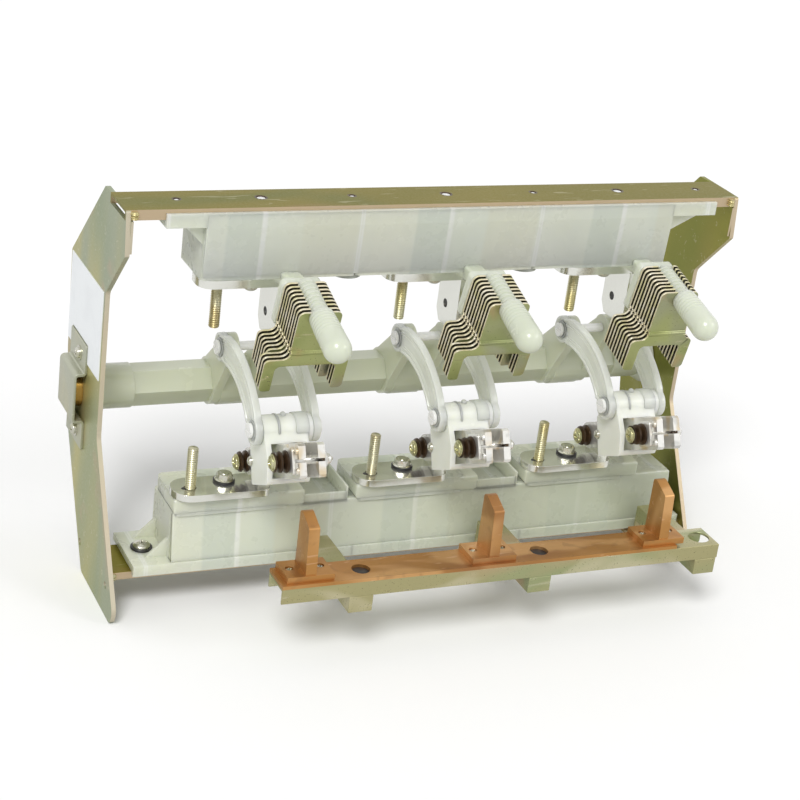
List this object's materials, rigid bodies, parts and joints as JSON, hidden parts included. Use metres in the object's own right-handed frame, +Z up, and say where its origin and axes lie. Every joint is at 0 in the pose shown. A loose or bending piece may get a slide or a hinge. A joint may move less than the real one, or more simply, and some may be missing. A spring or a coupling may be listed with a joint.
{
  "type": "gas insulated load break switch",
  "caption": "Three-phase load break and earthing switch core: insulating mouldings, arc chutes and knife blades that one cranked shaft turns between two side plates.",
  "frame": {"origin": "on the floor, midway between the side plates and at the middle of the depth", "axes": "+X along the three phases to the right, +Y from the front to the back, +Z up"},
  "size_m": [0.741, 0.3551, 0.4495],
  "materials": {
    "zinc": "yellow-green passivated zinc, satin",
    "resin": "glass-filled moulding, faintly glossy",
    "tinned": "tin-plated copper, satin",
    "screw": "zinc-plated, satin",
    "stud": "yellow zinc, threaded",
    "chute": "yellow-green passivated steel",
    "nylon": "white nylon, faintly glossy",
    "shaft": "translucent glass-filled nylon",
    "copper": "bare copper, dull",
    "brassy": "golden bearing bush",
    "discs": "bronze-brown disc springs",
    "white": "bare white plate",
    "pad": "grey moulded pad"
  },
  "bodies": {
    "frame": {"left_side_plate": "zinc", "right_side_plate": "zinc", "top_beam": "zinc", "bottom_beam": "zinc", "left_bearing_bracket": "zinc", "right_bearing_bracket": "zinc", "bearing_bushes": "brassy", "label_plate": "white", "top_insulator_a": "resin", "top_insulator_b": "resin", "top_insulator_c": "resin", "bottom_insulator_a": "resin", "bottom_insulator_b": "resin", "bottom_insulator_c": "resin", "top_terminals": "tinned", "bottom_terminals": "tinned", "terminal_studs": "stud", "terminal_bolts": "screw", "joint_pads": "pad", "arc_plates_a": "chute", "arc_plates_b": "chute", "arc_plates_c": "chute", "arc_holders": "nylon", "earth_channel": "zinc", "earth_strip": "copper", "earth_contacts": "copper", "earth_brackets": "zinc", "frame_bolts": "screw"},
    "shaft": {"main_shaft": "shaft", "crank_pins": "nylon"},
    "link_a": {"link_a": "nylon"},
    "blade_a": {"blades_a": "tinned", "blade_holder_a": "nylon", "contact_springs_a": "discs", "link_pin_a": "nylon"},
    "link_b": {"link_b": "nylon"},
    "blade_b": {"blades_b": "tinned", "blade_holder_b": "nylon", "contact_springs_b": "discs", "link_pin_b": "nylon"},
    "link_c": {"link_c": "nylon"},
    "blade_c": {"blades_c": "tinned", "blade_holder_c": "nylon", "contact_springs_c": "discs", "link_pin_c": "nylon"}
  },
  "joints": [
    {"name": "shaft_turn", "type": "hinge", "parent": "frame", "child": "shaft", "pos_m": [0, 0.121, 0.2], "axis": [1, 0, 0], "range_deg": [-68, 27]},
    {"name": "blade_turn_a", "type": "hinge", "parent": "frame", "child": "blade_a", "pos_m": [-0.1835, 0.003, 0.156], "axis": [1, 0, 0], "range_deg": [-68, 27]},
    {"name": "link_turn_a", "type": "hinge", "parent": "shaft", "child": "link_a", "pos_m": [-0.1835, 0.06612, 0.26425], "axis": [1, 0, 0], "range_deg": [-27, 68]},
    {"name": "blade_turn_b", "type": "hinge", "parent": "frame", "child": "blade_b", "pos_m": [0.0265, 0.003, 0.156], "axis": [1, 0, 0], "range_deg": [-68, 27]},
    {"name": "link_turn_b", "type": "hinge", "parent": "shaft", "child": "link_b", "pos_m": [0.0265, 0.06612, 0.26425], "axis": [1, 0, 0], "range_deg": [-27, 68]},
    {"name": "blade_turn_c", "type": "hinge", "parent": "frame", "child": "blade_c", "pos_m": [0.2365, 0.003, 0.156], "axis": [1, 0, 0], "range_deg": [-68, 27]},
    {"name": "link_turn_c", "type": "hinge", "parent": "shaft", "child": "link_c", "pos_m": [0.2365, 0.06612, 0.26425], "axis": [1, 0, 0], "range_deg": [-27, 68]}
  ],
  "couplings": [
    {"joint": "blade_turn_a", "follows": "shaft_turn", "ratio": 1},
    {"joint": "link_turn_a", "follows": "shaft_turn", "ratio": -1},
    {"joint": "blade_turn_b", "follows": "shaft_turn", "ratio": 1},
    {"joint": "link_turn_b", "follows": "shaft_turn", "ratio": -1},
    {"joint": "blade_turn_c", "follows": "shaft_turn", "ratio": 1},
    {"joint": "link_turn_c", "follows": "shaft_turn", "ratio": -1}
  ]
}
